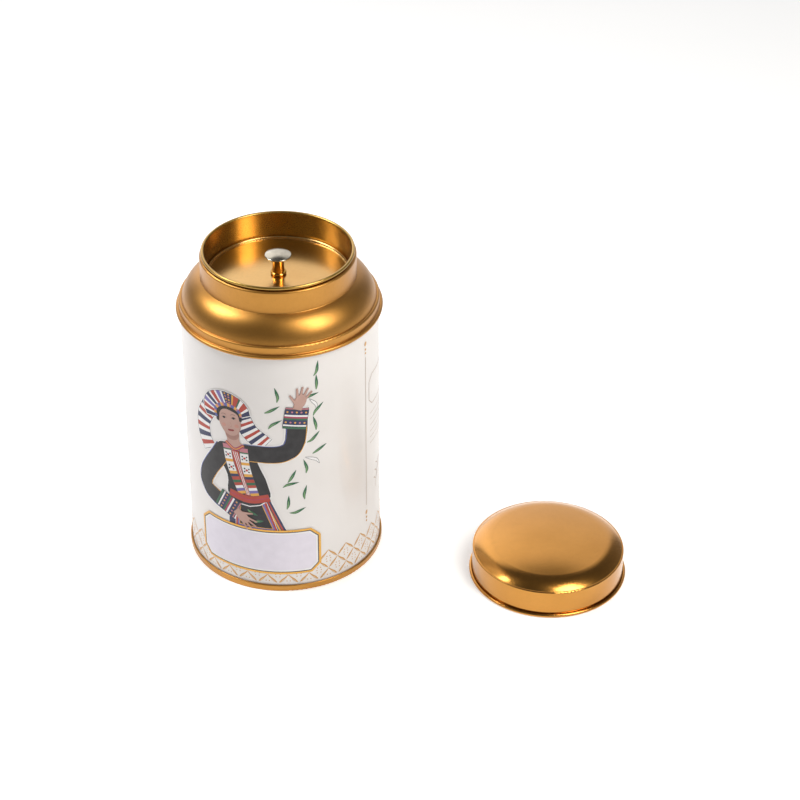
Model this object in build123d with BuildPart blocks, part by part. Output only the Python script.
# Round tinplate canister with two lids, built as it is on the bench.
#
# A rolled body takes a double-seamed bottom end and a drawn shoulder whose foot is
# curled over the body's top flange. A collar ring inside the neck gives the rolled rim
# and the ledge that the flat inner lid stands on. A riveted knob lifts the inner lid.
# The domed outer cap lies beside the tin, open side down, on the same surface.
#
# Frame: millimetres, +Z up, origin on the tin's axis in the plane of its foot.
# Every drawn piece is one strip of tinplate: the path of the middle of its wall is
# drawn in the XZ plane, traced to the sheet thickness and turned about its axis.
import os
from math import cos, radians, sin

from build123d import *

# ---------------------------------------------------------------- sheet and fits
SHEET = 0.25  # tinplate thickness of every drawn or rolled piece
LAP = 0.04  # clearance between sheets that are folded round each other
LID_GAP = 0.15  # radial clearance of the inner lid in the collar
CAP_GAP = 0.15  # radial clearance of the cap's skirt over the neck
SEAT = 0.02  # clearance left where one piece is seated on another
HALF = SHEET / 2

# ---------------------------------------------------------------- body cylinder
BODY_R = 41.0  # outside radius of the rolled body
BODY_H = 118.4  # height of the body's top flange, at the middle of the sheet
FLANGE_BEND = 0.375  # bend radius of the top flange
FLANGE_CLEAR = 0.3  # from the flange's edge to the inside of the curl round it
WELD_WIDTH = 1.0  # lap of the welded side seam
WELD_PROUD = 0.12  # how far the lap stands off the body
WELD_CLEAR = 0.8  # bare end of the lap beside each rolled joint

# ---------------------------------------------------------------- bottom double seam
SEAM_HEIGHT = 3.0  # foot to top of the double seam
FOOT_BEND = 0.4  # bend radius at the two edges of the foot
PANEL_Z = 3.5  # middle of the bottom panel at its edge
PANEL_RIM = 9.5  # from the body's radius in to the stiffening step of the panel
PANEL_STEP = 0.6  # bend radius of the step and of the panel's edge
PANEL_STEP_ANGLE = 45.0

# ---------------------------------------------------------------- shoulder
BEAD_OUT = 1.6  # how far the curl at the shoulder's foot stands out past the body
BEAD_BEND = 0.725  # radius of that curl, at the middle of the sheet
BAND_BEND = 0.375  # fillet between the curl and the upright band above it
STEP_RISE = 4.35  # from the body's flange up to the level step above the band
STEP_BEND = 0.6  # rounded outer edge of the step
STEP_ROOT = 0.3  # fillet between the step and the dome
DOME_IN = 1.0  # from the body's radius in to the foot of the dome
DOME_FOOT_LEAN = 12.0  # lean of the dome's wall off the upright at its foot
DOME_TOP_LEAN = 66.0  # lean of the dome's wall where it meets the neck

# ---------------------------------------------------------------- neck
NECK_R = 31.95  # outside radius of the neck
NECK_H = 9.48  # upright neck, from the dome's fillet to the top of its edge
NECK_ROOT = 0.5  # fillet between the dome and the neck
NECK_BEND = 0.675  # bend radius of the neck's turned-in edge

# ---------------------------------------------------------------- collar and rim
COLLAR_IN = 1.98  # from the outside of the neck to the inside of the collar
RIM_BEND = 0.565  # radius of the rolled rim, at the middle of the sheet
RIM_GAP = 0.41  # dark gap between the neck's edge and the rolled rim
RIM_TURN = 290.0  # how far round the rim is rolled, in degrees
LEDGE_IN = 1.55  # how far the ledge reaches in from the collar's wall
LEDGE_BEND = 0.25

# ---------------------------------------------------------------- inner lid
LID_DEPTH = 11.9  # from the top of the rim down to the lid's flat panel
LID_BEAD_BEND = 0.45  # radius of the bead round the lid, at the middle of the sheet
LID_BEAD_RISE = 0.45  # from the panel up to the centre of the bead
LID_BEAD_ROOT = 0.3  # fillet between the panel and the bead
LID_SKIRT = 6.85  # from the lid's bead top to the foot of its skirt
LID_SEAT = 0.05  # clearance between the skirt's foot and the ledge

# ---------------------------------------------------------------- knob
RIVET_R = 1.5  # shank through the lid
RIVET_GAP = 0.05  # clearance of the shank in its hole
RIVET_HEAD_R = 2.4  # head closed over below the lid
RIVET_HEAD_T = 0.6
FOOT_R = 3.25  # beaded foot of the knob
FOOT_T = 1.3
STEM_R = 2.6  # stem at its ends
STEM_WAIST_R = 2.38  # stem at mid height
STEM_T = 6.3  # stem above the foot
SPIGOT_R = 1.4  # spigot inside the head
SPIGOT_T = 1.2
HEAD_R = 5.48  # knob head
HEAD_CONE_T = 0.65  # height of the head's conical underside
HEAD_EDGE_T = 0.75  # height of the head's rounded edge
HEAD_EDGE_IN = 0.3  # how far the edge is rounded back
HEAD_DOME_T = 1.0  # rise of the head's dome above its edge

# ---------------------------------------------------------------- outer cap
CAP_X = 111.6  # where the loose cap lies
CAP_Y = -32.6
CAP_HEADROOM = 1.3  # room above the rim at the cap's edge when the cap is on the neck
CAP_EDGE_BEND = 0.4  # rounded edge round the top of the skirt
CAP_LEDGE = 0.12  # level ledge between the edge and the dome
CAP_ROOT = 0.3  # fillet between the ledge and the dome
CAP_CURL_BEND = 0.655  # radius of the curl at the cap's foot, at the middle of the sheet
CAP_CURL_TURN = 290.0
CAP_SIDE_SLOPE = 38.0  # slope of the dome at its foot
CAP_CROWN_SLOPE = 10.0  # slope where the side turns into the crown
CAP_SIDE_BEND = 16.0  # radius of the dome's side

# ---------------------------------------------------------------- derived sizes
FOLD = SHEET + LAP  # pitch of sheets folded face to face
BODY_MID = BODY_R - HALF
NECK_MID = NECK_R - HALF
COLLAR_MID = NECK_R - COLLAR_IN + HALF
CAP_MID = NECK_R + CAP_GAP + HALF

# the dome's radius follows from where it starts, where the neck is, and its two leans
foot_lean = radians(DOME_FOOT_LEAN)
top_lean = radians(DOME_TOP_LEAN)
DOME_FROM = BODY_R - DOME_IN - HALF
DOME_TO = NECK_MID + NECK_ROOT * (1 - cos(top_lean))
DOME_BEND = (DOME_FROM - DOME_TO) / (cos(foot_lean) - cos(top_lean))
DOME_Z = BODY_H + STEP_RISE + STEP_ROOT * (1 - sin(foot_lean))
NECK_Z = DOME_Z + DOME_BEND * (sin(top_lean) - sin(foot_lean)) + NECK_ROOT * sin(top_lean)

NECK_TOP_Z = NECK_Z + NECK_H
RIM_Z = NECK_TOP_Z + RIM_GAP + HALF + RIM_BEND
RIM_TOP_Z = RIM_Z + RIM_BEND + HALF
LID_Z = RIM_TOP_Z - LID_DEPTH
LID_MID_Z = LID_Z - HALF
LID_MID_R = COLLAR_MID - HALF - LID_GAP - HALF
LID_BEAD_Z = LID_MID_Z + LID_BEAD_RISE
LID_FOOT_Z = LID_BEAD_Z + LID_BEAD_BEND + HALF - LID_SKIRT
LEDGE_MID_Z = LID_FOOT_Z - LID_SEAT - HALF
FOOT_Z = LID_Z + SEAT
STEM_Z = FOOT_Z + FOOT_T
STEM_TOP_Z = STEM_Z + STEM_T
HEAD_Z = STEM_TOP_Z + SEAT
CAP_CURL_Z = CAP_CURL_BEND + HALF
CAP_SKIRT_Z = RIM_TOP_Z - NECK_Z + CAP_HEADROOM

os.makedirs("parts", exist_ok=True)


def bend(edge, radius, turn):
    """Carry the sheet's path on from edge round an arc; a positive turn is to the left."""
    return JernArc(start=edge @ 1, tangent=edge % 1, radius=radius, arc_size=turn)


def run(edge, length):
    """Carry the sheet's path straight on from edge."""
    return Line(edge @ 1, edge @ 1 + (edge % 1) * length)


def run_to_z(edge, height):
    """Carry an upright path straight on from edge to a height."""
    return Line(edge @ 1, ((edge @ 1).X, height))


def run_to_r(edge, radius):
    """Carry a level path straight on from edge to a radius."""
    return Line(edge @ 1, (radius, (edge @ 1).Y))


def save(piece, label):
    """Name a finished piece and write it as its own STEP file."""
    piece.part.label = label
    export_step(piece.part, f"parts/{label}.step")
    print(f"{label}: {len(piece.part.solids())} solid, {piece.part.volume:.1f} mm3")


# ================================================================ body shell
# The wall hooks outwards at the foot for the double seam and flanges out at the top.
HOOK_Z = SHEET + LAP + FOLD + HALF  # centre of the body's hook
HOOK_TIP_Z = SEAM_HEIGHT - HALF - FOLD  # tip of the hook, under the end's top fold

with BuildPart() as body_shell:
    with BuildSketch(Plane.XZ):
        with BuildLine():
            wall = Line((BODY_MID, HOOK_Z), (BODY_MID, BODY_H - FLANGE_BEND))
            flange_bend = bend(wall, FLANGE_BEND, -90)
            run_to_r(flange_bend, BODY_R + BEAD_OUT - SHEET - FLANGE_CLEAR)
            hook_bend = JernArc(start=wall @ 0, tangent=(0, -1), radius=FOLD, arc_size=180)
            run_to_z(hook_bend, HOOK_TIP_Z)
        trace(line_width=SHEET)
    revolve(axis=Axis.Z)
    # the welded lap stands a little proud of the body at the back
    weld_from = SEAM_HEIGHT + WELD_CLEAR
    weld_to = BODY_H - BEAD_BEND - HALF - WELD_CLEAR
    with BuildSketch(Plane.XY.offset(weld_from)):
        with Locations((0, BODY_MID)):
            Rectangle(WELD_WIDTH, SHEET / 2 + WELD_PROUD, align=(Align.CENTER, Align.MIN))
    extrude(amount=weld_to - weld_from)
save(body_shell, "body_shell")

# ================================================================ bottom end
# From the panel the sheet drops inside the body, runs under the foot, comes up outside
# and folds down again between the body and the body's hook.
with BuildPart() as bottom_end:
    with BuildSketch(Plane.XZ):
        with BuildLine():
            chuck_r = BODY_MID - FOLD
            foot_z = HALF
            step_drop = 2 * PANEL_STEP * (1 - cos(radians(PANEL_STEP_ANGLE)))
            centre_z = PANEL_Z + step_drop
            centre = Line((0, centre_z), (BODY_R - PANEL_RIM, centre_z))
            step_down = bend(centre, PANEL_STEP, -PANEL_STEP_ANGLE)
            step_out = bend(step_down, PANEL_STEP, PANEL_STEP_ANGLE)
            rim_panel = run_to_r(step_out, chuck_r - PANEL_STEP)
            panel_edge = bend(rim_panel, PANEL_STEP, -90)
            chuck_wall = run_to_z(panel_edge, foot_z + FOOT_BEND)
            foot_in = bend(chuck_wall, FOOT_BEND, 90)
            foot = run_to_r(foot_in, BODY_MID + 3 * FOLD - FOOT_BEND)
            foot_out = bend(foot, FOOT_BEND, 90)
            outer_wall = run_to_z(foot_out, SEAM_HEIGHT - HALF - FOLD)
            top_fold = bend(outer_wall, FOLD, 180)
            run_to_z(top_fold, HOOK_Z + LAP)
        trace(line_width=SHEET)
    revolve(axis=Axis.Z)
save(bottom_end, "bottom_end")

# ================================================================ shoulder
# One drawn piece: foot curl, upright band, level step, dome, neck and turned-in edge.
# The upright band sleeves over the body's line, a sheet further out.
with BuildPart() as shoulder_dome:
    with BuildSketch(Plane.XZ):
        with BuildLine():
            bead_r = BODY_R + BEAD_OUT - HALF - BEAD_BEND
            bead_z = BODY_H - BEAD_BEND
            tuck = Line((BODY_R + HALF + LAP, bead_z), (bead_r, bead_z))
            bead = bend(tuck, BEAD_BEND, 180)
            bead_top = run_to_r(bead, BODY_R + HALF + BAND_BEND)
            band_root = bend(bead_top, BAND_BEND, -90)
            band = run_to_z(band_root, BODY_H + STEP_RISE - STEP_BEND)
            step_edge = bend(band, STEP_BEND, 90)
            step = run_to_r(step_edge, DOME_FROM + STEP_ROOT * cos(foot_lean))
            step_root = bend(step, STEP_ROOT, DOME_FOOT_LEAN - 90)
            dome = bend(step_root, DOME_BEND, DOME_TOP_LEAN - DOME_FOOT_LEAN)
            neck_root = bend(dome, NECK_ROOT, -DOME_TOP_LEAN)
            neck = run_to_z(neck_root, NECK_TOP_Z - HALF - NECK_BEND)
            neck_edge = bend(neck, NECK_BEND, 90)
            run_to_r(neck_edge, COLLAR_MID + HALF + LAP)
        trace(line_width=SHEET)
    revolve(axis=Axis.Z)
save(shoulder_dome, "shoulder_dome")

# ================================================================ collar and rim
with BuildPart() as neck_collar:
    with BuildSketch(Plane.XZ):
        with BuildLine():
            ledge_in_r = COLLAR_MID - HALF - LEDGE_IN
            ledge = Line((ledge_in_r, LEDGE_MID_Z), (COLLAR_MID - LEDGE_BEND, LEDGE_MID_Z))
            ledge_bend = bend(ledge, LEDGE_BEND, 90)
            collar_wall = run_to_z(ledge_bend, RIM_Z)
            bend(collar_wall, RIM_BEND, -RIM_TURN)
        trace(line_width=SHEET)
    revolve(axis=Axis.Z)
save(neck_collar, "neck_collar")

# ================================================================ inner lid
with BuildPart() as inner_lid_pan:
    with BuildSketch(Plane.XZ):
        with BuildLine():
            bead_in_r = LID_MID_R - 2 * LID_BEAD_BEND
            panel = Line((RIVET_R + RIVET_GAP, LID_MID_Z), (bead_in_r - LID_BEAD_ROOT, LID_MID_Z))
            panel_root = bend(panel, LID_BEAD_ROOT, 90)
            bead_wall = run_to_z(panel_root, LID_BEAD_Z)
            lid_bead = bend(bead_wall, LID_BEAD_BEND, -180)
            run_to_z(lid_bead, LID_FOOT_Z)
        trace(line_width=SHEET)
    revolve(axis=Axis.Z)
save(inner_lid_pan, "inner_lid_pan")

# ================================================================ knob stem
# Turned stem: closed rivet head, shank, beaded foot, waisted stem and spigot.
rivet_top = LID_Z - SHEET - SEAT
with BuildPart() as knob_stem:
    with BuildSketch(Plane.XZ):
        with BuildLine():
            below = Polyline(
                (STEM_R, FOOT_Z),
                (RIVET_R, FOOT_Z),
                (RIVET_R, rivet_top),
                (RIVET_HEAD_R, rivet_top),
                (RIVET_HEAD_R, rivet_top - RIVET_HEAD_T),
                (0, rivet_top - RIVET_HEAD_T),
            )
            ThreePointArc((STEM_R, FOOT_Z), (FOOT_R, FOOT_Z + FOOT_T / 2), (STEM_R, STEM_Z))
            waist_z = STEM_Z + STEM_T / 2
            ThreePointArc((STEM_R, STEM_Z), (STEM_WAIST_R, waist_z), (STEM_R, STEM_TOP_Z))
            above = Polyline(
                (STEM_R, STEM_TOP_Z),
                (SPIGOT_R, STEM_TOP_Z),
                (SPIGOT_R, STEM_TOP_Z + SPIGOT_T),
                (0, STEM_TOP_Z + SPIGOT_T),
            )
            Line(above @ 1, below @ 1)
        make_face()
    revolve(axis=Axis.Z)
save(knob_stem, "knob_stem")

# ================================================================ knob head
with BuildPart() as knob_head:
    with BuildSketch(Plane.XZ):
        with BuildLine():
            socket_r = SPIGOT_R + SEAT
            socket_z = STEM_TOP_Z + SPIGOT_T + SEAT
            edge_r = HEAD_R - HEAD_EDGE_IN
            edge_z = HEAD_Z + HEAD_CONE_T
            top_edge_z = edge_z + HEAD_EDGE_T
            apex_z = top_edge_z + HEAD_DOME_T
            under = Polyline((socket_r, HEAD_Z), (STEM_R, HEAD_Z), (edge_r, edge_z))
            ThreePointArc(under @ 1, (HEAD_R, edge_z + HEAD_EDGE_T / 2), (edge_r, top_edge_z))
            dome_bend = (edge_r**2 + HEAD_DOME_T**2) / (2 * HEAD_DOME_T)
            RadiusArc((edge_r, top_edge_z), (0, apex_z), -dome_bend)
            Polyline((0, apex_z), (0, socket_z), (socket_r, socket_z), (socket_r, HEAD_Z))
        make_face()
    revolve(axis=Axis.Z)
save(knob_head, "knob_head")

# ================================================================ outer cap
# The skirt clears the neck all round. The dome is a side arc that runs into a flatter
# crown; the crown's radius brings it to the cap's axis, level.
side_slope = radians(CAP_SIDE_SLOPE)
crown_slope = radians(CAP_CROWN_SLOPE)
side_from = CAP_MID - CAP_EDGE_BEND - CAP_LEDGE - CAP_ROOT * sin(side_slope)
side_reach = CAP_SIDE_BEND * (sin(side_slope) - sin(crown_slope))
CAP_CROWN_BEND = (side_from - side_reach) / sin(crown_slope)

cap_plane = Plane(origin=(CAP_X, CAP_Y, 0), x_dir=(1, 0, 0), z_dir=(0, -1, 0))
cap_axis = Axis((CAP_X, CAP_Y, 0), (0, 0, 1))

with BuildPart() as outer_cap:
    with BuildSketch(cap_plane):
        with BuildLine():
            skirt_top = CAP_SKIRT_Z - HALF - CAP_EDGE_BEND
            skirt = Line((CAP_MID, CAP_CURL_Z), (CAP_MID, skirt_top))
            JernArc(start=skirt @ 0, tangent=(0, -1), radius=CAP_CURL_BEND, arc_size=CAP_CURL_TURN)
            cap_edge = bend(skirt, CAP_EDGE_BEND, 90)
            cap_ledge = run(cap_edge, CAP_LEDGE)
            cap_root = bend(cap_ledge, CAP_ROOT, -CAP_SIDE_SLOPE)
            cap_side = bend(cap_root, CAP_SIDE_BEND, CAP_SIDE_SLOPE - CAP_CROWN_SLOPE)
            bend(cap_side, CAP_CROWN_BEND, CAP_CROWN_SLOPE)
        trace(line_width=SHEET)
    revolve(axis=cap_axis)
save(outer_cap, "outer_cap")
